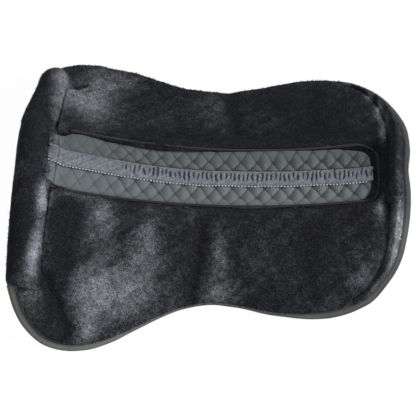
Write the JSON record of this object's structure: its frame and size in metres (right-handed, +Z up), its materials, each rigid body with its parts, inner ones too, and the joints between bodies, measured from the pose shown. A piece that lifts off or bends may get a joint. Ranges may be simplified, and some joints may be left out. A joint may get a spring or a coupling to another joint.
{
  "type": "half pad",
  "caption": "Contoured fleece half pad with a quilted spine channel, a gathered elastic band, a padded front roll and a raised rear rim.",
  "frame": {"origin": "centre of the bounding box's bottom face, on the floor under the arched pad", "axes": "+X from the front roll to the rear rim, +Y towards the side that lies on a horse's left in use, +Z up out of the plush side"},
  "size_m": [0.54, 0.4574, 0.1686],
  "materials": {
    "plush_fleece": "deep soft plush pile",
    "quilted_cotton": "matt woven cotton, diamond quilted",
    "hem_tape": "woven binding tape",
    "elastic_webbing": "ribbed knitted elastic",
    "pad_foam": "open-cell foam sheet",
    "wadding": "loose polyester wadding",
    "sewing_thread": "twisted thread"
  },
  "bodies": {
    "spine": {"spine_cover": "quilted_cotton", "spine_quilt": "quilted_cotton", "ruched_band": "quilted_cotton", "spine_elastic": "elastic_webbing", "left_band_stitching": "sewing_thread", "right_band_stitching": "sewing_thread", "centre_front_roll": "plush_fleece", "centre_rear_rim": "plush_fleece", "centre_front_roll_core": "wadding", "centre_rear_rim_core": "wadding", "centre_rear_binding": "hem_tape"},
    "left_flank": {"left_quilted_cover": "quilted_cotton", "left_foam_insert": "pad_foam", "left_fleece_panel": "plush_fleece", "left_front_roll": "plush_fleece", "left_front_roll_core": "wadding", "left_rear_rim": "plush_fleece", "left_rear_rim_core": "wadding", "left_channel_piping": "quilted_cotton", "left_hem_binding": "hem_tape", "left_hem_stitching": "sewing_thread"},
    "right_flank": {"right_quilted_cover": "quilted_cotton", "right_foam_insert": "pad_foam", "right_fleece_panel": "plush_fleece", "right_front_roll": "plush_fleece", "right_front_roll_core": "wadding", "right_rear_rim": "plush_fleece", "right_rear_rim_core": "wadding", "right_channel_piping": "quilted_cotton", "right_hem_binding": "hem_tape", "right_hem_stitching": "sewing_thread"}
  },
  "joints": [
    {"name": "left_fold", "type": "hinge", "parent": "spine", "child": "left_flank", "pos_m": [0.00603, 0.044, 0.08057], "axis": [0.9918, 0, -0.128], "range_deg": [-4, 32]},
    {"name": "right_fold", "type": "hinge", "parent": "spine", "child": "right_flank", "pos_m": [0.00603, -0.044, 0.08057], "axis": [-0.9918, 0, 0.128], "range_deg": [-4, 32]}
  ]
}
